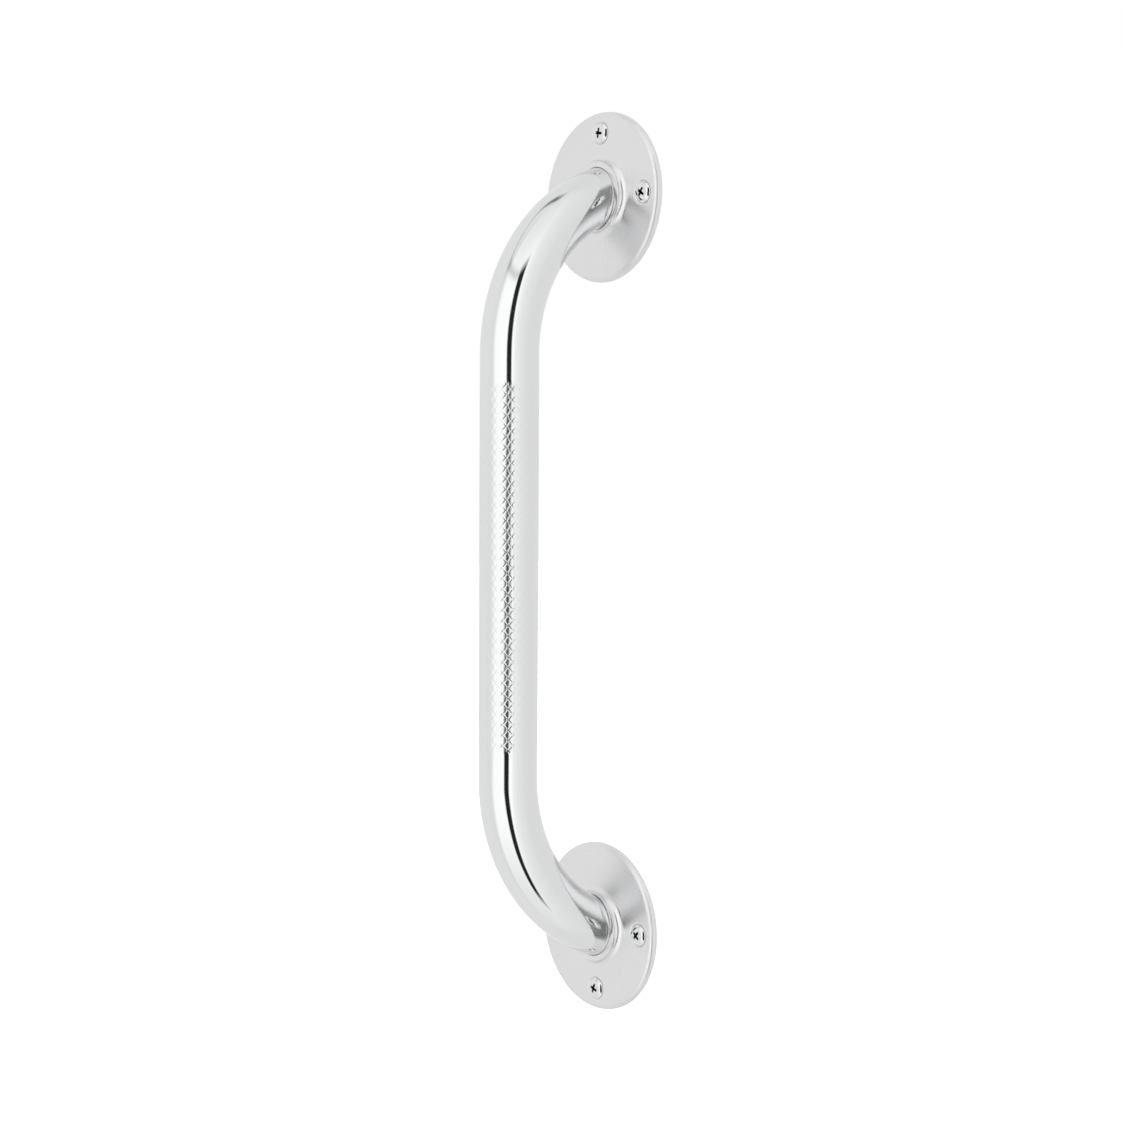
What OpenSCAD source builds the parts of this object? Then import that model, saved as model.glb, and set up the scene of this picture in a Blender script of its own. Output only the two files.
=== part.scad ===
// Wall-mounted grab rail: a bent, chrome-plated tube with a knurled grip, welded into two
// pressed flanges, each fixed by three oval-head screws.
// The wall is the plane Y = 0, the rail stands out of it towards -Y, and the grip runs along Z.
// The origin lies on the wall, midway between the flanges.

/* [Rail] */
// Distance between the centres of the two flanges
flange_centres = 330.2; // [275:0.1:620]
// Distance from the wall to the axis of the straight grip
standoff = 55; // [45.5:0.5:66]

/* [Tube] */
// Outside diameter of the tube
tube_od = 26; // [21:0.1:32]
// Wall thickness of the tube
tube_wall = 1.5; // [1:0.1:2.5]
// Radius of both bends, to the tube's centreline
bend_r = 76.2; // [68:0.1:92]
// Gap between the tube's trimmed end and the wall
tube_end_gap = 0.4; // [0.2:0.1:1]

/* [Knurled grip] */
// Plain straight tube left between each bend and the knurling
plain_length = 12; // [4:0.5:30]
// Height that the rolled knurling stands above the plain tube
knurl_raise = 0.15; // [0.05:0.05:0.4]

/* [Flanges] */
// Outside diameter of each flange
flange_d = 76.2; // [70:0.1:92]
// Depth of the pressed flange, from the wall to its face
flange_depth = 3.2; // [2.8:0.1:5]
// Thickness of the sheet that the flange is pressed from
sheet = 1.5; // [1.2:0.1:2]
// Outside radius of the turned-back rim
rim_r = 2.4; // [2.1:0.1:2.7]
// Height of the drawn neck above the flange's face, and radius of its flared foot
neck_rise = 3; // [2:0.1:4]
// Wall thickness of the neck where its lip is thinnest, on the side that the tube leans to
neck_lip = 0.8; // [0.6:0.1:2]
// Gap between the tube and the neck, all round
neck_gap = 0.1; // [0.05:0.05:0.3]

/* [Screws] */
// Diameter of the circle that the three screws of a flange lie on
screw_circle_d = 57.15; // [54:0.05:62]
// Outside diameter of the screw's thread
screw_d = 4.8; // [4:0.1:5.8]
// Diameter of the oval head
head_d = 9.8; // [8.6:0.1:10.6]
// Height of the head's crown above its edge
head_crown = 1.5; // [0.8:0.1:2]
// Included angle of the countersunk seat, in degrees
seat_angle = 82; // [80:1:90]
// Length of the screw, from the head's edge to its end
screw_length = 9.5; // [8:0.5:60]
// Depth of the head's edge below the flange's face
head_sink = 0.25; // [0.05:0.05:0.4]
// Gap between the screw's thread and its hole, all round
hole_gap = 0.25; // [0.1:0.05:0.5]
// Gap between the back of a screw's seat and the wall, so that the rim bears first
seat_gap = 0.2; // [0.1:0.1:0.5]
// Width of the chamfer where the screw's seat meets the flange's face
seat_chamfer = 0.8; // [0.3:0.1:1.2]

/* [Cross recess] */
// Width across the wings at the head's crown
recess_w = 5.2; // [4:0.1:6]
// Thickness of one wing
recess_t = 1.1; // [0.8:0.1:1.4]
// Depth of the recess below the crown
recess_depth = 2.8; // [1.5:0.1:3.2]

/* [Hidden] */
$fn = 96;

// Overshoot of a cut past the surface that it opens
cut = 1;
tube_r = tube_od / 2;
flange_r = flange_d / 2;
flange_z = flange_centres / 2;
chrome = [0.86, 0.87, 0.88];
steel = [0.55, 0.55, 0.56];

// The bends' centres lie this far behind the wall
bend_y = bend_r - standoff;
// The tube crosses the flange's axis half-way through the neck
neck_middle = flange_depth - sheet / 2 + neck_rise / 2;
// Height of each bend's centre above the origin, which is where the straight grip ends
bend_z = flange_z - sqrt(bend_r ^ 2 - (bend_y + neck_middle) ^ 2);
// Height of the tube's axis above the origin, at a distance out of the wall
function axis_z(out) = bend_z + sqrt(bend_r ^ 2 - (bend_y + out) ^ 2);
// Angle between the tube and the flange's axis there
function lean(out) = asin((bend_y + out) / bend_r);

// The lip clears the leaning tube, whose section there is an ellipse set towards the grip
lip_out = flange_depth + neck_rise;
lip_reach = (tube_r + neck_gap) / cos(lean(lip_out)) + flange_z - axis_z(lip_out);
neck_r = lip_reach + neck_lip;

grip_half = bend_z - plain_length;

head_r = head_d / 2;
screw_r = screw_d / 2;
seat_slope = tan(seat_angle / 2);
// Distance of the head's edge from the wall
head_out = flange_depth - head_sink;
// Depth of the head's cone, from its edge to the shank
head_cone = (head_r - screw_r) / seat_slope;
crown_r = (head_r ^ 2 + head_crown ^ 2) / (2 * head_crown);
end_chamfer = 0.6;

// A solid rod of radius r along the tube's own path, left long at both ends.
// Each half is a straight from the middle of the rail and a quarter bend.
module along_tube(r) {
    for (side = [0, 1])
        mirror([0, 0, side]) {
            translate([0, -standoff, 0])
                cylinder(h = bend_z, r = r);
            translate([0, bend_y, bend_z])
                rotate([90, 0, -90])
                    rotate_extrude(angle = 90)
                        translate([bend_r, 0])
                            circle(r);
        }
}

// Puts a shape drawn upwards from the wall on the upper flange's axis, standing out of the wall
module on_flange(along = 0) {
    translate([0, 0, flange_z + along])
        rotate([90, 0, 0])
            children();
}

// The bent tube, trimmed flat just in front of the wall, with the knurled band on its straight
module rail_tube() {
    color(chrome)
        difference() {
            union() {
                along_tube(tube_r);
                knurled_band();
            }
            along_tube(tube_r - tube_wall);
            translate([-tube_od, -tube_end_gap, -2 * flange_centres])
                cube([2 * tube_od, 2 * bend_r, 4 * flange_centres]);
        }
}

module knurled_band() {
    translate([0, -standoff, 0])
        rotate_extrude()
            polygon([
                [0, -grip_half], [tube_r, -grip_half],
                [tube_r + knurl_raise, -grip_half + knurl_raise],
                [tube_r + knurl_raise, grip_half - knurl_raise],
                [tube_r, grip_half], [0, grip_half]
            ]);
}

// Half section of a round dish of this radius and depth, with a rounded rim
module dish_section(r, depth, rim) {
    square([r - rim, depth]);
    intersection() {
        translate([r - rim, depth - rim])
            circle(rim);
        square([r, depth]);
    }
    if (depth > rim)
        square([r, depth - rim]);
}

// Half section of the neck: its outside sweeps up from the face in a concave arc
module neck_section() {
    foot_r = neck_r + neck_rise;
    translate([0, flange_depth - sheet])
        difference() {
            square([foot_r, sheet + neck_rise]);
            translate([foot_r, sheet + neck_rise])
                circle(neck_rise);
        }
}

// One screw's seat: a cone pressed back through the sheet until it nearly meets the wall
module seat_boss() {
    boss_r = screw_r + hole_gap + sheet;
    boss_depth = flange_depth - sheet / 2 - seat_gap;
    translate([0, 0, seat_gap])
        cylinder(h = boss_depth, r1 = boss_r, r2 = boss_r + boss_depth * seat_slope);
}

// What a screw's seat takes out of the flange: the hole, the cone under the head, and a chamfer
module seat_cut() {
    chamfer_slope = seat_chamfer / head_sink;
    translate([0, 0, -cut])
        cylinder(h = flange_depth + 2 * cut, r = screw_r + hole_gap);
    translate([0, 0, head_out - head_cone])
        cylinder(h = head_cone, r1 = screw_r, r2 = head_r);
    translate([0, 0, head_out])
        cylinder(h = head_sink + cut, r1 = head_r, r2 = head_r + (head_sink + cut) * chamfer_slope);
}

// The three screw places of the upper flange: its outer end and both sides
module each_screw() {
    for (turn = [0, 90, 180])
        rotate([0, 0, turn])
            translate([screw_circle_d / 2, 0, 0])
                children();
}

module flange() {
    color(chrome)
        difference() {
            on_flange() {
                difference() {
                    union() {
                        rotate_extrude() {
                            difference() {
                                dish_section(flange_r, flange_depth, rim_r);
                                translate([0, -cut])
                                    dish_section(flange_r - sheet, flange_depth - sheet + cut, rim_r - sheet);
                            }
                            neck_section();
                        }
                        each_screw() seat_boss();
                    }
                    each_screw() seat_cut();
                }
            }
            along_tube(tube_r + neck_gap);
        }
}

// The fillet of weld behind the flange, in the hollow between the sheet and the tube's end
module weld() {
    weld_r = flange_depth - sheet - tube_end_gap;
    weld_out = flange_depth - sheet;
    color(steel)
        difference() {
            on_flange(axis_z(weld_out) - flange_z)
                rotate_extrude()
                    difference() {
                        translate([tube_r, weld_out])
                            circle(weld_r + neck_gap);
                        translate([0, weld_out])
                            square(2 * tube_r);
                    }
            along_tube(tube_r);
        }
}

// An oval-head screw, drawn with its axis on Z, its head up and the head's edge at Z = 0
module screw_body() {
    difference() {
        union() {
            rotate_extrude()
                intersection() {
                    translate([0, head_crown - crown_r])
                        circle(crown_r);
                    square([head_r, head_crown]);
                }
            translate([0, 0, -head_cone])
                cylinder(h = head_cone, r1 = screw_r, r2 = head_r);
            translate([0, 0, end_chamfer - screw_length])
                cylinder(h = screw_length - end_chamfer - head_cone, r = screw_r);
            translate([0, 0, -screw_length])
                cylinder(h = end_chamfer, r1 = screw_r - end_chamfer, r2 = screw_r);
        }
        cross_recess();
    }
}

// The cross recess: two crossed wings inside a cone that closes towards the bottom
module cross_recess() {
    translate([0, 0, head_crown - recess_depth])
        intersection() {
            cylinder(h = recess_depth + cut, r1 = recess_t, r2 = recess_w / 2 + cut * recess_w / 2 / recess_depth);
            for (turn = [0, 90])
                rotate([0, 0, turn])
                    translate([-recess_w, -recess_t / 2, 0])
                        cube([2 * recess_w, recess_t, recess_depth + cut]);
        }
}

// The screw at one of the upper flange's places: 0 and 2 are the sides, 1 is the outer end
module screw(place) {
    color(chrome)
        on_flange()
            rotate([0, 0, 90 * place])
                translate([screw_circle_d / 2, 0, head_out])
                    screw_body();
}

rail_tube();
flange();  // upper_flange
mirror([0, 0, 1]) flange();  // lower_flange
weld();  // upper_weld
mirror([0, 0, 1]) weld();  // lower_weld
screw(0);  // upper_right_screw
screw(1);  // upper_end_screw
screw(2);  // upper_left_screw
mirror([0, 0, 1]) screw(0);  // lower_right_screw
mirror([0, 0, 1]) screw(1);  // lower_end_screw
mirror([0, 0, 1]) screw(2);  // lower_left_screw
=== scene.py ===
import math

import bmesh
import bpy
import numpy as np
from mathutils import Matrix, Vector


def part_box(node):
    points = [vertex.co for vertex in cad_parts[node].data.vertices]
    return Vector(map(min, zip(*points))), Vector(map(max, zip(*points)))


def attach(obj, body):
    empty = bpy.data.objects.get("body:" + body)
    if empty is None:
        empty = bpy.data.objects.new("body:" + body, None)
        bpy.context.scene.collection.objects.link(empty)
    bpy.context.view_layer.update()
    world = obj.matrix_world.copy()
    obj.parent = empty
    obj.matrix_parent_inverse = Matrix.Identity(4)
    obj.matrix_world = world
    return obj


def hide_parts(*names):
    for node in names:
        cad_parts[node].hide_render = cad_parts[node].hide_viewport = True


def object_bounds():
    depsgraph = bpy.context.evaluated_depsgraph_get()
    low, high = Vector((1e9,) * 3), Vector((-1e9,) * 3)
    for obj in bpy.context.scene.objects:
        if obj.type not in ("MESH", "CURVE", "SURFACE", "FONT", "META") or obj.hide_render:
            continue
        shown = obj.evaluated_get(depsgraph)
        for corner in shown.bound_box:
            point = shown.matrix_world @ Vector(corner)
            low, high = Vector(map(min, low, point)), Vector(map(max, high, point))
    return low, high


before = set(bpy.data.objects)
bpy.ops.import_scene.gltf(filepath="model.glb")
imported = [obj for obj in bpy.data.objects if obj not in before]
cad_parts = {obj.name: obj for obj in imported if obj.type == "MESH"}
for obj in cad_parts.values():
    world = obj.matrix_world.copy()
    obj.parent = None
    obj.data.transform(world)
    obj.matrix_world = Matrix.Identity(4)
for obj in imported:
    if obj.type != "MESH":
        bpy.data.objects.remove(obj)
cad_low, cad_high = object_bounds()
scene = bpy.context.scene
mm = 0.001


# --- Rail tube -------------------------------------------------------------------------------
# One length of 26 mm brass tube with a 1.5 mm wall, bent at both ends and chrome plated.
# The straight between the bends is rolled with a shallow diamond knurl for grip.
# Both ends are trimmed flat just short of the wall, inside the flanges.
tube_low, tube_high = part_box("rail_tube")
flange_low, flange_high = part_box("upper_flange")

knurl_raise = 0.15 * mm
tube_wall = 1.5 * mm
bend_r = 76.2 * mm
plain_length = 12 * mm
tube_r = tube_high.x - knurl_raise
standoff = -tube_low.y - tube_high.x
tube_end_gap = -tube_high.y

flange_r = flange_high.x
flange_z = (flange_low.z + flange_high.z) / 2
lip_out = -flange_low.y
flange_depth = 3.2 * mm
sheet = 1.5 * mm
neck_rise = lip_out - flange_depth

bend_y = bend_r - standoff
neck_middle = flange_depth - sheet / 2 + neck_rise / 2
bend_z = flange_z - math.sqrt(bend_r**2 - (bend_y + neck_middle) ** 2)
grip_half = bend_z - plain_length


def skin(name, patches):
    """A closed mesh from patches, each an array of points in rows and columns. A patch that goes
    round says so, and its last column then meets its first. Edges that lie together are merged,
    and the faces are turned outwards."""
    points, quads, start = [], [], 0
    for grid, goes_round in patches:
        rows, columns = grid.shape[:2]
        index = start + np.arange(rows * columns).reshape(rows, columns)
        if goes_round:
            index = np.concatenate([index, index[:, :1]], axis=1)
        corners = [index[:-1, :-1], index[:-1, 1:], index[1:, 1:], index[1:, :-1]]
        quads.append(np.stack(corners, axis=-1).reshape(-1, 4))
        points.append(grid.reshape(-1, 3))
        start += rows * columns
    points = np.concatenate(points).astype(np.float32)
    quads = np.concatenate(quads).astype(np.int32)
    mesh = bpy.data.meshes.new(name)
    mesh.vertices.add(len(points))
    mesh.vertices.foreach_set("co", points.ravel())
    mesh.loops.add(quads.size)
    mesh.loops.foreach_set("vertex_index", quads.ravel())
    mesh.polygons.add(len(quads))
    mesh.polygons.foreach_set("loop_start", np.arange(0, quads.size, 4, dtype=np.int32))
    mesh.update(calc_edges=True)
    work = bmesh.new()
    work.from_mesh(mesh)
    bmesh.ops.remove_doubles(work, verts=work.verts, dist=0.2e-6)
    bmesh.ops.recalc_face_normals(work, faces=work.faces)
    work.to_mesh(mesh)
    work.free()
    mesh.polygons.foreach_set("use_smooth", np.ones(len(mesh.polygons), bool))
    mesh.update()
    piece = bpy.data.objects.new(name, mesh)
    scene.collection.objects.link(piece)
    return piece


pitch_along = 4.55 * mm
diamonds_round = 20
diamond_height = 0.02 * mm
first_turn = 1.22
creep_length = 15 * mm


def knurl(along, turn):
    """Height of the rolled diamonds above the tube: the product of a cosine along the grip and
    one round it, which leaves a chequer of low pillows between two crossing sets of grooves.
    About half way along, the rolls crept round the tube by a quarter of a diamond. The pattern
    fades out within half a diamond of the band's ends."""
    crept = first_turn + 0.25 * np.pi * (1 + np.tanh(along / creep_length))
    wave = np.cos(2 * np.pi * along / pitch_along) * np.cos(diamonds_round * turn + crept)
    share = np.clip((grip_half - np.abs(along)) / (pitch_along / 2), 0, 1)
    return diamond_height * wave * share**2 * (3 - 2 * share)


def tube_surface(radius, round_steps, bend_steps, straight_along, knurled):
    """Points of a tube of this radius on the rail's path, row after row from the lower end to the
    upper one. On the straight a row is a circle. In a bend a row is turned about the bend's
    centre, by an angle that brings its last row, point by point, onto the flat trimmed end."""
    turn = np.linspace(0, 2 * np.pi, round_steps, endpoint=False)
    share = np.linspace(0, 1, bend_steps + 1)[:, None]
    reach = bend_r + radius * np.cos(turn)
    trim = np.arccos((bend_y + tube_end_gap) / reach)
    angle = share * trim
    side = np.broadcast_to(radius * np.sin(turn), angle.shape)
    upper = np.stack([side, bend_y - reach * np.cos(angle), bend_z + reach * np.sin(angle)], -1)
    lower = upper[::-1] * [1, 1, -1]
    along, turns = np.meshgrid(straight_along, turn, indexing="ij")
    r = radius + (knurl(along, turns) if knurled else 0)
    straight = np.stack([r * np.sin(turns), -standoff - r * np.cos(turns), along], -1)
    return np.concatenate([lower, straight, upper])


round_steps = 160
bend_steps = 60
bore_bend_steps = 24
grip_rows = np.linspace(-grip_half, grip_half, 325)
plain_rows = np.linspace(grip_half, bend_z, 5)[1:-1]
straight_rows = np.concatenate([-plain_rows[::-1], grip_rows, plain_rows])
outside = tube_surface(tube_r, round_steps, bend_steps, straight_rows, True)
bore = tube_surface(tube_r - tube_wall, round_steps, bore_bend_steps, np.array([0.0]), False)
lower_end = np.stack([outside[0], bore[0]])
upper_end = np.stack([outside[-1], bore[-1]])
rail_tube = skin(
    "chromed_tube", [(outside, True), (bore, True), (lower_end, True), (upper_end, True)]
)


def mesh_points(piece):
    """The points of a piece's mesh, one row for each."""
    points = np.empty(3 * len(piece.data.vertices), np.float32)
    piece.data.vertices.foreach_get("co", points)
    return points.reshape(-1, 3)


def mark_points(piece, name, values):
    """Keep one number for each point of a piece's mesh, for its material to read."""
    mark = piece.data.attributes.new(name, "FLOAT", "POINT")
    mark.data.foreach_set("value", values.astype(np.float32))


# The rolled band is a little duller than the rest, and its mark fades out at both ends.
grip_fade = 2 * mm
from_grip_end = grip_half - np.abs(mesh_points(rail_tube)[:, 2])
mark_points(rail_tube, "knurled", np.clip(from_grip_end / grip_fade, 0, 1))


def reckon(tree, operation, *values, kind="ShaderNodeMath"):
    """One step of arithmetic in a node tree, on numbers or on other nodes' results."""
    node = tree.nodes.new(kind)
    node.operation = operation
    for socket, value in zip(node.inputs, values):
        if isinstance(value, bpy.types.NodeSocket):
            tree.links.new(value, socket)
        else:
            socket.default_value = value
    return node.outputs["Value"]


def noise(tree, vector, scale, detail):
    """Soft noise of this many features to a metre, with smaller ones added in each detail."""
    node = tree.nodes.new("ShaderNodeTexNoise")
    node.inputs["Scale"].default_value = scale
    node.inputs["Detail"].default_value = detail
    tree.links.new(vector, node.inputs["Vector"])
    return node.outputs["Fac"]


def bump(tree, height, strength, distance, normal=None):
    """A surface raised by height times distance, laid over the bumps that normal holds."""
    node = tree.nodes.new("ShaderNodeBump")
    node.inputs["Strength"].default_value = strength
    node.inputs["Distance"].default_value = distance
    tree.links.new(height, node.inputs["Height"])
    if normal:
        tree.links.new(normal, node.inputs["Normal"])
    return node.outputs["Normal"]


def attribute(tree, name):
    """The number that a mesh keeps for each of its points under this name."""
    node = tree.nodes.new("ShaderNodeAttribute")
    node.attribute_name = name
    return node.outputs["Fac"]


def mix_colour(tree, share, first, second):
    """A colour part of the way from the first to the second."""
    node = tree.nodes.new("ShaderNodeMix")
    node.data_type = "RGBA"
    tree.links.new(share, node.inputs["Factor"])
    for socket, colour in ((node.inputs["A"], first), (node.inputs["B"], second)):
        if isinstance(colour, bpy.types.NodeSocket):
            tree.links.new(colour, socket)
        else:
            socket.default_value = (*colour, 1)
    return node.outputs["Result"]


def chrome(name, tint, gloss, dull=None, dull_gloss=0.0):
    """Bright chrome plating: a clear metal whose roughness drifts with a faint film of handling,
    with hair-fine polishing marks along the grip and a trace of ripple under the plating.
    dull names a mark on the mesh, where dull_gloss is added to the roughness."""
    material = bpy.data.materials.new(name)
    material.use_nodes = True
    tree = material.node_tree
    shader = tree.nodes["Principled BSDF"]
    shader.inputs["Metallic"].default_value = 1
    place = tree.nodes.new("ShaderNodeTexCoord").outputs["Object"]

    film = noise(tree, place, 38, 5)
    rough = tree.nodes.new("ShaderNodeMapRange")
    rough.inputs["From Min"].default_value = 0.3
    rough.inputs["From Max"].default_value = 0.7
    rough.inputs["To Min"].default_value = gloss * 0.75
    rough.inputs["To Max"].default_value = gloss * 1.3
    tree.links.new(film, rough.inputs["Value"])
    roughness = rough.outputs["Result"]
    if dull:
        roughness = reckon(tree, "MULTIPLY_ADD", attribute(tree, dull), dull_gloss, roughness)
    tree.links.new(roughness, shader.inputs["Roughness"])
    colour = mix_colour(tree, film, [c * 0.985 for c in tint], tint)
    tree.links.new(colour, shader.inputs["Base Color"])

    draw = tree.nodes.new("ShaderNodeMapping")
    draw.inputs["Scale"].default_value = (9000, 9000, 260)
    tree.links.new(place, draw.inputs["Vector"])
    marks = noise(tree, draw.outputs["Vector"], 1, 2)
    polished = bump(tree, marks, 0.06, 0.003 * mm)
    rippled = bump(tree, noise(tree, place, 130, 1), 0.5, 0.006 * mm, polished)
    tree.links.new(rippled, shader.inputs["Normal"])
    return material


def score_grooves(material):
    """The fine bottoms of the knurl's grooves, laid over the diamonds of the mesh. In each of the
    two slanting sets, a groove runs half way between diamonds, and has rounded shoulders."""
    groove_depth = 0.056 * mm
    half_width = 0.16
    tree = material.node_tree
    shader = tree.nodes["Principled BSDF"]
    place = tree.nodes.new("ShaderNodeSeparateXYZ")
    tree.links.new(tree.nodes.new("ShaderNodeTexCoord").outputs["Object"], place.inputs["Vector"])
    x, y, z = place.outputs
    turn = reckon(tree, "ARCTAN2", x, reckon(tree, "MULTIPLY_ADD", y, -1.0, -standoff))
    creep = reckon(tree, "TANH", reckon(tree, "DIVIDE", z, creep_length))
    creep = reckon(tree, "MULTIPLY_ADD", creep, 0.125, 0.125 + first_turn / (2 * math.pi))
    across = reckon(tree, "MULTIPLY_ADD", turn, diamonds_round / (2 * math.pi), creep)
    along = reckon(tree, "DIVIDE", z, pitch_along)
    land = attribute(tree, "knurled")
    for lean in (1.0, -1.0):
        count = reckon(tree, "FRACT", reckon(tree, "MULTIPLY_ADD", across, lean, along))
        off_groove = reckon(tree, "ABSOLUTE", reckon(tree, "SUBTRACT", count, 0.5))
        wall = tree.nodes.new("ShaderNodeMapRange")
        wall.interpolation_type = "SMOOTHSTEP"
        wall.inputs["From Max"].default_value = half_width
        tree.links.new(off_groove, wall.inputs["Value"])
        land = reckon(tree, "MULTIPLY", land, wall.outputs["Result"])
    plain = shader.inputs["Normal"].links[0].from_socket
    tree.links.new(bump(tree, land, 1.0, groove_depth, plain), shader.inputs["Normal"])


tube_plating = chrome(
    "tube_chrome_plating", (0.805, 0.81, 0.815), 0.07, dull="knurled", dull_gloss=0.11
)
score_grooves(tube_plating)
rail_tube.data.materials.append(tube_plating)
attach(rail_tube, "root")
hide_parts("rail_tube")


# --- Flanges ---------------------------------------------------------------------------------
# Each flange is a round dish pressed from 1.5 mm sheet, with its rim turned back to the wall.
# A short neck is drawn up round the leaning tube, and three countersunk seats are pressed in:
# one at the outer end and one at each side. It is chrome plated together with the tube.
rim_r = 2.4 * mm
neck_gap = 0.1 * mm
neck_lip = 0.8 * mm
screw_circle_r = 57.15 / 2 * mm
screw_r = 2.4 * mm
head_r = 4.9 * mm
head_out = flange_depth - 0.25 * mm
hole_r = screw_r + 0.25 * mm
shoulder_r = 1.3 * mm
seat_slope = math.tan(math.radians(82 / 2))
seat_gap = 0.2 * mm


def tube_edge(turn, out, radius):
    """Where the leaning tube, grown to this radius, cuts a plane at this distance out of the
    wall: the section of a ring about the bend's centre, given as x, distance out and height."""
    reach = bend_r + radius * np.cos(turn)
    height = bend_z + np.sqrt(reach**2 - (bend_y + out) ** 2)
    out = np.broadcast_to(out, np.broadcast(turn, out, radius).shape)
    return np.stack(np.broadcast_arrays(radius * np.sin(turn), out, height - flange_z), -1)


def round_axis(radius, out, turn):
    """Points turned about the flange's axis: one row for each radius and distance out."""
    radius, out = np.asarray(radius)[:, None], np.asarray(out)[:, None]
    across, along = radius * np.sin(turn), radius * np.cos(turn)
    return np.stack(np.broadcast_arrays(across, out, along), -1)


def arc(centre, radius, first, last, steps):
    """Points of an arc from one angle to another, in degrees, as two arrays."""
    angle = np.radians(np.linspace(first, last, steps + 1))
    return centre[0] + radius * np.cos(angle), centre[1] + radius * np.sin(angle)


def seat_front(steps):
    """Half section of a countersunk seat, from the edge of its hole outwards: straight up the
    cone, then over a rounded shoulder that is tangent to the cone and to the flange's face."""
    slant = math.atan(1 / seat_slope)
    crease = head_r + (flange_depth - head_out) * seat_slope
    tangent = shoulder_r * math.tan(slant / 2)
    centre = crease + tangent, flange_depth - shoulder_r
    x, out = arc(centre, shoulder_r, 90 + math.degrees(slant), 90, steps)
    hole_out = head_out - (head_r - hole_r) / seat_slope
    cone_x = np.linspace(hole_r, x[0], 6)[:-1]
    cone_out = np.linspace(hole_out, out[0], 6)[:-1]
    return np.append(cone_x, x), np.append(cone_out, out)


def seat_back(steps):
    """Half section of the same seat from behind: a flat ring round the hole, a rounded edge,
    then the outside of the cone up to the back of the sheet, where a fillet takes it flat."""
    back = flange_depth - sheet
    slant = math.degrees(math.atan(1 / seat_slope))
    edge_r, fillet_r = 0.4 * mm, 0.5 * mm
    foot = hole_r + sheet
    cut = edge_r * math.tan(math.radians(slant / 2))
    x1, y1 = arc((foot - cut, seat_gap + edge_r), edge_r, -90, slant - 90, steps)
    crease = foot + (back - seat_gap) * seat_slope
    cut = fillet_r * math.tan(math.radians(slant / 2))
    x2, y2 = arc((crease + cut, back - fillet_r), fillet_r, 90 + slant, 90, steps)
    return np.concatenate([[hole_r], x1, x2]), np.concatenate([[seat_gap], y1, y2])


seat_half_turn = 16
seat_turns = (0, 90, 270)
foot_r = (
    (tube_r + neck_gap) / math.cos(math.asin((bend_y + lip_out) / bend_r))
    + flange_z
    - (bend_z + math.sqrt(bend_r**2 - (bend_y + lip_out) ** 2))
    + neck_lip
    + neck_rise
)


def dish_face(seat_x, seat_out):
    """The flat of the dish at one side of the sheet, between the neck's foot and the rim. It is a
    grid of rays and circles, except for a sector round each seat: there, rings that follow the
    seat's section grow outwards and are then blended into the sector's four edges."""
    edge = 0.12 * mm
    inner, outer, flat = foot_r, flange_r - rim_r, seat_out[-1]
    radii = np.concatenate([[inner], np.linspace(inner + edge, outer - edge, 15), [outer]])
    level = np.full(len(radii), flat)
    patches = []
    starts = [turn + seat_half_turn for turn in seat_turns]
    stops = [turn - seat_half_turn for turn in (*seat_turns[1:], 360)]
    for start, stop in zip(starts, stops):
        patches.append((round_axis(radii, level, np.radians(np.arange(start, stop + 1))), False))
    for seat_turn in seat_turns:
        turn = np.arange(seat_turn - seat_half_turn, seat_turn + seat_half_turn + 1)
        sector = round_axis(radii, level, np.radians(turn))
        outline = np.concatenate(
            [sector[0, :-1], sector[:-1, -1], sector[-1, :0:-1], sector[:0:-1, 0]]
        )
        middle = math.radians(seat_turn)
        centre = screw_circle_r * np.array([math.sin(middle), 0, math.cos(middle)])
        ray = (outline - centre) * [1, 0, 1]
        ray /= np.linalg.norm(ray, axis=1, keepdims=True)
        rings = centre + ray * seat_x[:, None, None]
        rings[:, :, 1] = seat_out[:, None]
        share = np.linspace(0, 1, 6)[1:, None, None]
        blend = rings[-1] * (1 - share) + outline * share
        patches.append((np.concatenate([rings, blend]), True))
    return patches


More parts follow.
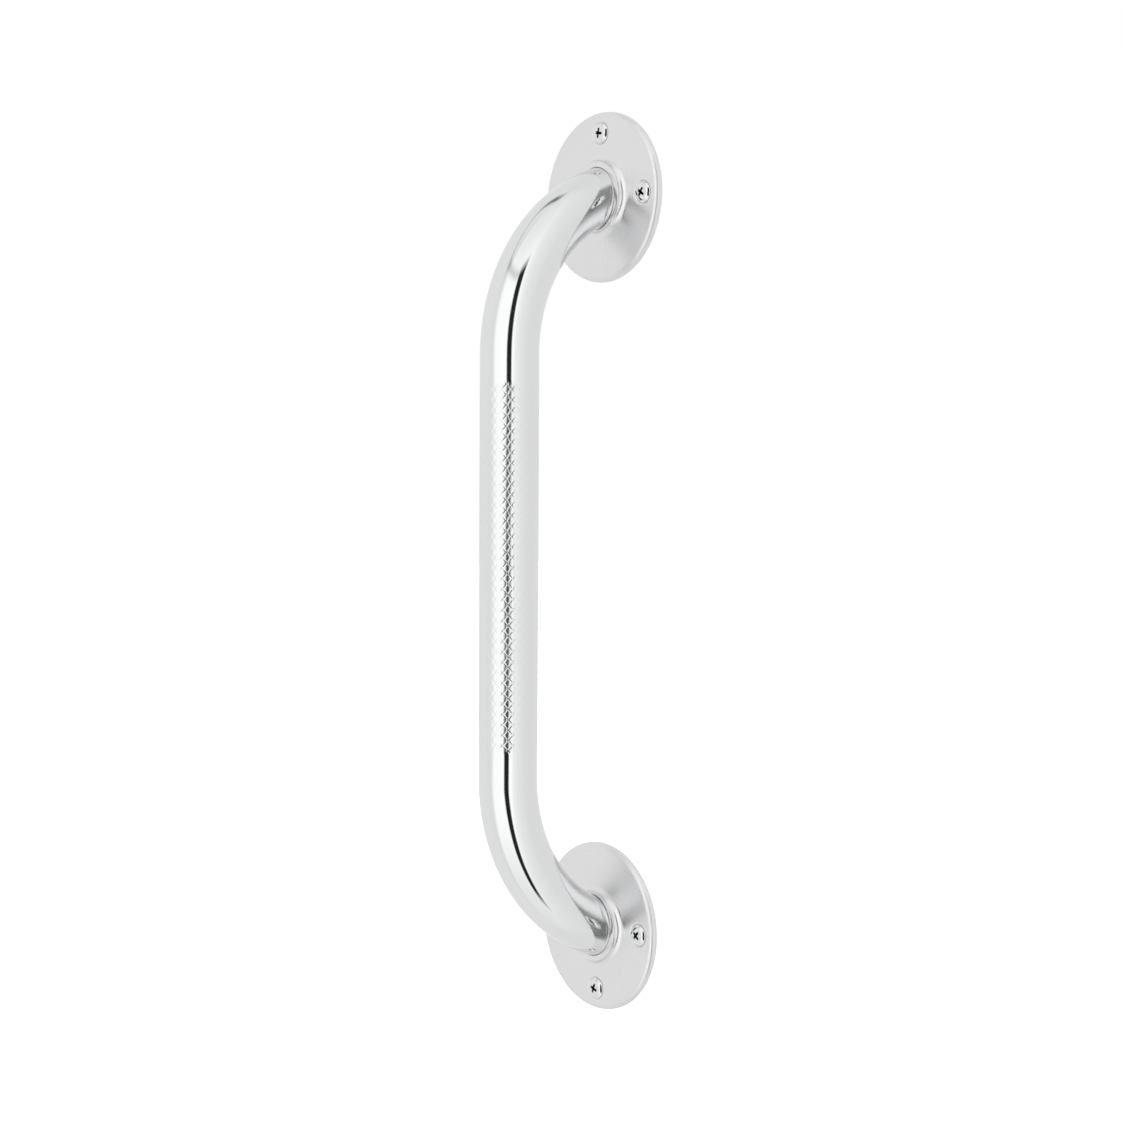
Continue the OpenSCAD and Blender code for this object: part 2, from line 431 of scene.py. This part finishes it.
def neck_and_rim():
    """The rest of a flange: the flared foot and rounded lip of the neck, the wall inside it that
    follows the tube down to the back of the sheet, and the turned-back rim."""
    lip_edge = 0.25 * mm
    full_turn = np.radians(np.arange(360))
    level_off = 180 + math.degrees(math.asin(lip_edge / neck_rise))
    flare_x, flare_out = arc((foot_r, lip_out), neck_rise, 270, level_off, 20)
    lip_x, lip_y = arc((flare_x[-1] - lip_edge, lip_out - lip_edge), lip_edge, 0, 90, 6)
    outer = round_axis(np.append(flare_x, lip_x[1:]), np.append(flare_out, lip_y[1:]), full_turn)
    clear_r = tube_r + neck_gap
    inner = []
    for turn in np.radians([90, 60, 30, 0]):
        out = lip_out - lip_edge * (1 - math.sin(turn))
        inner.append(tube_edge(full_turn, out, clear_r + lip_edge * (1 - math.cos(turn))))
    back = flange_depth - sheet
    wall_outs = np.linspace(lip_out - lip_edge, back, 9)[1:]
    wall = [tube_edge(full_turn, out, clear_r) for out in wall_outs]
    back_ring = round_axis([foot_r], [back], full_turn)[0]
    lip = np.stack([outer[-1], *inner, *wall, back_ring])
    edge = 0.15 * mm
    rim_x, rim_out = arc((flange_r - rim_r, flange_depth - rim_r), rim_r, 90, 0, 20)
    foot_x, foot_out = arc((flange_r - edge, edge), edge, 0, -90, 3)
    heel_x, heel_out = arc((flange_r - sheet + edge, edge), edge, 270, 180, 3)
    turned_x, turned_out = arc((flange_r - rim_r, flange_depth - rim_r), rim_r - sheet, 0, 90, 10)
    rim = round_axis(
        np.concatenate([rim_x, foot_x, heel_x, turned_x]),
        np.concatenate([rim_out, foot_out, heel_out, turned_out]),
        full_turn,
    )
    return [(outer, True), (lip, True), (rim, True)]


def on_flange(patches, side):
    """Patches drawn on the flange's axis, as x, distance out and distance along the rail, put on
    the upper flange (side 1) or mirrored onto the lower one (side -1)."""
    moved = []
    for grid, goes_round in patches:
        x, out, along = grid[..., 0], grid[..., 1], grid[..., 2]
        moved.append((np.stack([x, -out, side * (flange_z + along)], -1), goes_round))
    return moved


front, back = dish_face(*seat_front(8)), dish_face(*seat_back(4))
seats = len(seat_turns)
holes = [
    (np.stack([near[0], far[0]]), True)
    for (near, _), (far, _) in zip(front[seats:], back[seats:])
]
pressed = front + back + holes + neck_and_rim()
flange_plating = chrome(
    "flange_chrome_plating", (0.81, 0.81, 0.815), 0.27, dull="drawn", dull_gloss=0.08
)
# The rim is turned back over a tool, which leaves it a little duller than the pressed face.
rim_fade = 1 * mm
for name, side in (("upper", 1), ("lower", -1)):
    flange = skin(name + "_pressed_flange", on_flange(pressed, side))
    points = mesh_points(flange)
    reach = np.hypot(points[:, 0], side * points[:, 2] - flange_z)
    mark_points(flange, "drawn", np.clip((reach - flange_r + rim_r) / rim_fade, 0, 1))
    flange.data.materials.append(flange_plating)
    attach(flange, "root")
    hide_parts(name + "_flange")


# --- Welds -----------------------------------------------------------------------------------
# A bead of weld joins the tube to the flange from behind, in the hollow that faces the wall.
# It is laid in short overlapping steps, is left as welded, and has a dull, heat-tinted skin.
def weld_bead():
    """A ring whose section is a quarter disc in the corner between sheet and tube. The disc's
    radius swells and shrinks in slanting scallops as the bead goes round."""
    bead_r = 1.25 * mm
    steps_round = 46
    turn = np.linspace(0, 2 * np.pi, 368, endpoint=False)
    lift = np.radians(np.linspace(0, 90, 10))[:, None]
    scallop = np.abs(np.sin(steps_round / 2 * turn + 1.1 * lift))
    r = bead_r * (0.86 + 0.14 * scallop)
    back = flange_depth - sheet
    face = tube_edge(turn[None, :], back - r * np.sin(lift), tube_r + r * np.cos(lift))
    corner = tube_edge(turn, np.full(len(turn), back), np.full(len(turn), tube_r))
    return [(np.concatenate([corner[None], face, corner[None]]), True)]


weld_metal = bpy.data.materials.new("weld_metal")
weld_metal.use_nodes = True
weld_tree = weld_metal.node_tree
shader = weld_tree.nodes["Principled BSDF"]
shader.inputs["Metallic"].default_value = 1
place = weld_tree.nodes.new("ShaderNodeTexCoord").outputs["Object"]
heat = noise(weld_tree, place, 210, 4)
tint = weld_tree.nodes.new("ShaderNodeValToRGB")
tint.color_ramp.elements[0].position = 0.3
tint.color_ramp.elements[0].color = (0.30, 0.27, 0.25, 1)
tint.color_ramp.elements[1].position = 0.72
tint.color_ramp.elements[1].color = (0.56, 0.53, 0.50, 1)
rough = weld_tree.nodes.new("ShaderNodeMapRange")
rough.inputs["To Min"].default_value = 0.25
rough.inputs["To Max"].default_value = 0.55
weld_tree.links.new(heat, tint.inputs["Fac"])
weld_tree.links.new(heat, rough.inputs["Value"])
weld_tree.links.new(tint.outputs["Color"], shader.inputs["Base Color"])
weld_tree.links.new(rough.outputs["Result"], shader.inputs["Roughness"])
for name, side in (("upper", 1), ("lower", -1)):
    weld = skin(name + "_weld_bead", on_flange(weld_bead(), side))
    weld.data.materials.append(weld_metal)
    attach(weld, "root")
    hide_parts(name + "_weld")


# --- Screws ----------------------------------------------------------------------------------
# Six chrome-plated oval-head screws, No. 10, 9.5 mm long, with a cross recess whose bottom is
# rougher and coloured near-black as painted shade. The head is forged and the thread is rolled.
# Each screw has stopped at its own angle, in degrees.
screw_length = 9.5 * mm
thread_pitch = 0.794 * mm


def crown(reach):
    """Height of the head above its edge at a distance from the axis, summed inwards from the edge
    along a profile whose slope is slight over the middle and about 50 degrees on the flank."""
    spots = np.linspace(0, head_r, 400)
    slope = np.interp(spots, [0, 3.5 * mm, 4.15 * mm, head_r], [0, 12, 48, 54])
    rise = np.tan(np.radians(slope)) * (spots[1] - spots[0])
    return np.interp(reach, spots, np.cumsum(rise[::-1])[::-1])


def cross(half_length, half_width, turn):
    """How far a cross with round ends reaches from its middle, at each turn about it: the lesser
    of the distances to a wing's side and to its end. They are joined by adding their inverse
    sixth powers, which rounds the outline where the two meet."""
    from_wing = np.abs((turn + np.pi / 4) % (np.pi / 2) - np.pi / 4)
    side = half_width / np.maximum(np.sin(from_wing), 1e-9)
    end = half_length / np.cos(from_wing) ** 0.5
    sharp = 6
    return (side**-sharp + end**-sharp) ** (-1 / sharp)


def screw_surface():
    """One screw on its own axis, as x, distance out from the head's edge and y. It is rows of
    points from the bottom of the recess, up its walls, over the crown and the head's rounded
    edge, down the cone, and along the shank, whose radius follows the thread."""
    points_round = 144
    turn = np.linspace(0, 2 * np.pi, points_round, endpoint=False)
    rows = []

    # The recess narrows to its floor, which dips to a point, and its mouth has a rounded edge.
    mouth = cross(2.3 * mm, 0.62 * mm, turn)
    floor = cross(1.5 * mm, 0.42 * mm, turn)
    recess_depth = 2.3 * mm
    floor_out = float(crown(0)) - recess_depth
    tip_depth = 0.25 * mm
    wall_top = crown(mouth) - 0.12 * mm
    for share in (0, 0.5):
        rows.append((floor * share, floor_out - tip_depth * (1 - share)))
    for share in (0, 0.3, 0.6, 0.85, 1):
        rows.append((floor + (mouth - floor) * share, floor_out + (wall_top - floor_out) * share))
    rounded = mouth + 0.05 * mm
    rows.append((rounded, crown(rounded) - 0.035 * mm))

    brow = mouth + 0.13 * mm
    rows.append((brow, crown(brow)))
    edge = 0.15 * mm
    for share in np.append(np.linspace(0, 0.6, 5)[1:], np.linspace(0.65, 1, 10)):
        reach = brow * (1 - share) + (head_r - edge) * share
        rows.append((reach, crown(reach)))
    edge_top = crown(head_r - edge)
    for lean in np.radians([60, 30, 0, -30]):
        out = edge_top - edge * (1 - math.sin(lean)) / 2
        rows.append((head_r - edge + edge * math.cos(lean), out))
    cone = (head_r - screw_r) / seat_slope
    edge_drop = 0.1 * mm
    for share in (0.05, 0.5, 1):
        reach = head_r + (screw_r - head_r) * share
        rows.append((reach, -cone * share - edge_drop * (1 - share)))

    # The thread's root and its crest are each flat over about a ninth of the pitch.
    tip = 0.6 * mm
    thread_depth = 0.5 * mm
    for out in np.linspace(-cone, -screw_length, 90)[1:]:
        wave = (out / thread_pitch - turn / (2 * np.pi)) % 1
        groove = np.clip(1.15 - np.abs(wave - 0.5) * 2.6, 0, 1)
        runout = min(1, (-cone - out) / thread_pitch)
        tip_r = screw_r - max(0, tip - screw_length - out)
        rows.append((np.minimum(screw_r - thread_depth * groove * runout, tip_r), out))
    rows.append((0.0, -screw_length))
    surface = []
    for reach, out in rows:
        ring = np.broadcast_arrays(reach * np.sin(turn), out, reach * np.cos(turn))
        surface.append(np.stack(ring, -1))
    return np.stack(surface)


def recess_depth_share(screw, side, middle):
    """How far each point of a screw lies down its recess: 0 down to 0.4 mm under the crown, 1
    another 0.4 mm below that, and 0 for every point outside the recess."""
    start, fade = 0.4 * mm, 0.4 * mm
    widest, deepest = 3 * mm, 4 * mm
    points = mesh_points(screw)
    across = points[:, 0] - screw_circle_r * math.sin(middle)
    along = side * points[:, 2] - flange_z - screw_circle_r * math.cos(middle)
    reach = np.hypot(across, along)
    under = head_out + crown(reach) + points[:, 1]
    inside = (reach < widest) & (under < deepest)
    return np.where(inside, np.clip((under - start) / fade, 0, 1), 0)


screw_plating = chrome(
    "screw_chrome_plating", (0.80, 0.805, 0.81), 0.1, dull="sunk", dull_gloss=0.45
)
# Painted shade: the recess's bottom is coloured near-black to stand in for shade, and is duller.
screw_tree = screw_plating.node_tree
shader = screw_tree.nodes["Principled BSDF"]
plated = shader.inputs["Base Color"].links[0].from_socket
recess_painted_shade = (0.02, 0.02, 0.02)
colour = mix_colour(screw_tree, attribute(screw_tree, "sunk"), plated, recess_painted_shade)
screw_tree.links.new(colour, shader.inputs["Base Color"])

screw_shape = screw_surface()
place_turns = {"end": 0, "right": 90, "left": 270}
stopped_at = {
    ("upper", "end"): 10, ("upper", "left"): 57, ("upper", "right"): 33,
    ("lower", "end"): 70, ("lower", "left"): 25, ("lower", "right"): 48,
}
for (flange_name, place_name), stop in stopped_at.items():
    side = 1 if flange_name == "upper" else -1
    middle = math.radians(place_turns[place_name])
    c, s = math.cos(math.radians(stop)), math.sin(math.radians(stop))
    x, out, y = screw_shape[..., 0], screw_shape[..., 1], screw_shape[..., 2]
    across = screw_circle_r * math.sin(middle) + c * x + s * y
    along = screw_circle_r * math.cos(middle) - s * x + c * y
    turned = np.stack([across, head_out + out, along], -1)
    name = flange_name + "_" + place_name
    screw = skin(name + "_oval_head_screw", on_flange([(turned, True)], side))
    # The sunk mark carries the recess's painted shade as well as its added roughness.
    mark_points(screw, "sunk", recess_depth_share(screw, side, middle))
    screw.data.materials.append(screw_plating)
    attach(screw, "root")
    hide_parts(name + "_screw")


# --- Studio ----------------------------------------------------------------------------------
# The rail stands in a white light tent: pale cloth all round, brightest in front, with one
# upright opening there, which bright metal shows as a dark line. The camera's angles are in
# radians: its turn about the upright, its lift above level, and its roll.
camera_turn = 0.870
camera_lift = 0.043
camera_roll = 0.005
camera_distance = 1.1235
camera_target = np.array([-29.272, 0.0, -0.086]) * mm

forward = np.array(
    [
        -math.sin(camera_turn) * math.cos(camera_lift),
        math.cos(camera_turn) * math.cos(camera_lift),
        -math.sin(camera_lift),
    ]
)
level = np.array([math.cos(camera_turn), math.sin(camera_turn), 0.0])
upright = np.cross(level, forward)
right = math.cos(camera_roll) * level + math.sin(camera_roll) * upright
up = math.cos(camera_roll) * upright - math.sin(camera_roll) * level
camera = bpy.data.objects.new("camera", bpy.data.cameras.new("camera"))
camera.data.sensor_width = 36
camera.data.lens = 77.83
camera.data.clip_start = 0.05
camera.data.clip_end = 50
axes = np.column_stack([right, up, -forward, camera_target - forward * camera_distance])
camera.matrix_world = Matrix([*axes.tolist(), [0, 0, 0, 1]])
scene.collection.objects.link(camera)
scene.camera = camera
scene.view_settings.view_transform = "Standard"

world = bpy.data.worlds.new("light_tent")
scene.world = world
world.use_nodes = True
tent_tree = world.node_tree
tent_tree.nodes.clear()
plating_shine = 0.81


def work_out(operation, *values):
    """One step of the tent's arithmetic."""
    return reckon(tent_tree, operation, *values)


def lean_on(direction, axis):
    """How far a direction leans towards an axis: the cosine of the angle between them."""
    return reckon(tent_tree, "DOT_PRODUCT", direction, axis, kind="ShaderNodeVectorMath")


def through(value, stops):
    """A straight line through stops of (value, result), level before the first and after the
    last. A ramp holds results from 0 to 1, so they are scaled into it and out again."""
    values, results = zip(*stops)
    low, span = min(results), max(results) - min(results)
    fit = tent_tree.nodes.new("ShaderNodeMapRange")
    fit.inputs["From Min"].default_value = values[0]
    fit.inputs["From Max"].default_value = values[-1]
    tent_tree.links.new(value, fit.inputs["Value"])
    node = tent_tree.nodes.new("ShaderNodeValToRGB")
    elements = node.color_ramp.elements
    shares = [(v - values[0]) / (values[-1] - values[0]) for v in values]
    greys = [(result - low) / span for result in results]
    elements[0].color = (greys[0], greys[0], greys[0], 1)
    elements[1].color = (greys[-1], greys[-1], greys[-1], 1)
    for share, grey in zip(shares[1:-1], greys[1:-1]):
        elements.new(share).color = (grey, grey, grey, 1)
    tent_tree.links.new(fit.outputs["Result"], node.inputs["Fac"])
    return work_out("MULTIPLY_ADD", node.outputs["Color"], span, low)


# Where a direction points, in degrees: azimuth is 0 towards the viewer and grows to the viewer's
# right, and elevation is 90 straight up.
direction = tent_tree.nodes.new("ShaderNodeTexCoord").outputs["Generated"]
sideways = lean_on(direction, tuple(level))
towards = lean_on(direction, (math.sin(camera_turn), -math.cos(camera_turn), 0.0))
upwards = lean_on(direction, (0.0, 0.0, 1.0))
azimuth = work_out("DEGREES", work_out("ARCTAN2", sideways, towards))
elevation = work_out("DEGREES", work_out("ARCSINE", upwards))

# The cloth: how bright it is all round, and from below to overhead. The darker of the two holds.
around = through(
    azimuth,
    [(-180, 0.69), (-100, 0.735), (-68, 0.70), (-55, 0.97), (-10, 1.0), (14, 1.0), (22, 0.86),
     (40, 0.78), (75, 0.70), (180, 0.69)],
)
overhead = through(
    elevation, [(-90, 0.72), (-60, 0.80), (-25, 1.0), (30, 1.0), (55, 0.84), (90, 0.72)]
)
cloth = work_out("MINIMUM", around, overhead)

# A seam in the cloth runs left from the top of the opening, then climbs to a gap overhead.
seam_elevation = through(azimuth, [(-80, 45), (-40, 42), (-14, 38), (0, 35)])
off_seam = work_out("ABSOLUTE", work_out("SUBTRACT", elevation, seam_elevation))
low_seam = through(off_seam, [(0, 0.66), (1.5, 0.76), (4, 1.0)])
past_seam = through(azimuth, [(-82, 1.0), (-70, 0.3), (-50, 0.0), (-12, 0.0), (-5, 1.0)])
low_seam = work_out("MAXIMUM", low_seam, past_seam)
seam_azimuth = through(
    elevation,
    [(40, -73.08), (46, -79.92), (49, -86.94), (54, -95.04), (59, -109.08), (62, -118.98),
     (68, -124.02), (78, -120.06), (85, -106.02)],
)
off_seam = work_out("ABSOLUTE", work_out("SUBTRACT", azimuth, seam_azimuth))
off_seam = work_out("MULTIPLY", off_seam, work_out("COSINE", work_out("RADIANS", elevation)))
on_seam = through(off_seam, [(0, 1.0), (1.5, 0.8), (4.5, 0.0)])
darkening = through(
    elevation,
    [(36, 0.0), (42, 0.34), (58, 0.34), (65, 0.58), (70, 0.74), (78, 0.87), (84, 0.7), (89, 0.2)],
)
high_seam = work_out("SUBTRACT", 1.0, work_out("MULTIPLY", on_seam, darkening))
cloth = work_out("MULTIPLY", cloth, work_out("MULTIPLY", low_seam, high_seam))

# The opening: its middle bends a little to the right at its foot, and its edges are soft.
opening_middle = through(
    elevation,
    [(-60, 25.2), (-50, 13.2), (-40, 6), (-25, 0.6), (-12, -4.8), (-5, -4.2), (3, 0), (38, 2.4)],
)
off_middle = work_out("ABSOLUTE", work_out("SUBTRACT", azimuth, opening_middle))
beside = through(off_middle, [(7.5, 0.0), (11, 1.0)])
beyond = through(elevation, [(-62, 1.0), (-54, 0.0), (36, 0.0), (43, 1.0)])
opening_bright = 0.015
shut = work_out("MAXIMUM", beside, beyond)
shut = work_out("MULTIPLY_ADD", shut, 1 - opening_bright, opening_bright)
strength = work_out("DIVIDE", work_out("MULTIPLY", cloth, shut), plating_shine)

# The plating sees the tent, and the camera sees plain white behind the rail.
glow = tent_tree.nodes.new("ShaderNodeBackground")
glow.inputs["Color"].default_value = (1, 1, 1, 1)
tent_tree.links.new(strength, glow.inputs["Strength"])
backdrop = tent_tree.nodes.new("ShaderNodeBackground")
backdrop.inputs["Color"].default_value = (1, 1, 1, 1)
choose = tent_tree.nodes.new("ShaderNodeMixShader")
seen_by = tent_tree.nodes.new("ShaderNodeLightPath")
tent_tree.links.new(seen_by.outputs["Is Camera Ray"], choose.inputs["Fac"])
tent_tree.links.new(glow.outputs["Background"], choose.inputs[1])
tent_tree.links.new(backdrop.outputs["Background"], choose.inputs[2])
surroundings = tent_tree.nodes.new("ShaderNodeOutputWorld")
tent_tree.links.new(choose.outputs["Shader"], surroundings.inputs["Surface"])

# The floor is pale matt board, well below the rail. A wide overhead lamp whitens it.
floor_mesh = bpy.data.meshes.new("floor")
reach = 9.0
floor_z = cad_low.z - 0.3
corners = (-1, -1), (1, -1), (1, 1), (-1, 1)
floor_mesh.from_pydata([(reach * x, reach * y, floor_z) for x, y in corners], [], [(0, 1, 2, 3)])
floor = bpy.data.objects.new("floor", floor_mesh)
scene.collection.objects.link(floor)
board = bpy.data.materials.new("pale_board")
board.use_nodes = True
shader = board.node_tree.nodes["Principled BSDF"]
shader.inputs["Base Color"].default_value = (0.93, 0.93, 0.93, 1)
shader.inputs["Roughness"].default_value = 0.9
floor_mesh.materials.append(board)
floor.visible_glossy = False

lamp = bpy.data.objects.new("overhead_lamp", bpy.data.lights.new("overhead_lamp", "SUN"))
lamp.data.energy = 2.5
lamp.data.angle = 1.0
lamp.visible_glossy = False
scene.collection.objects.link(lamp)
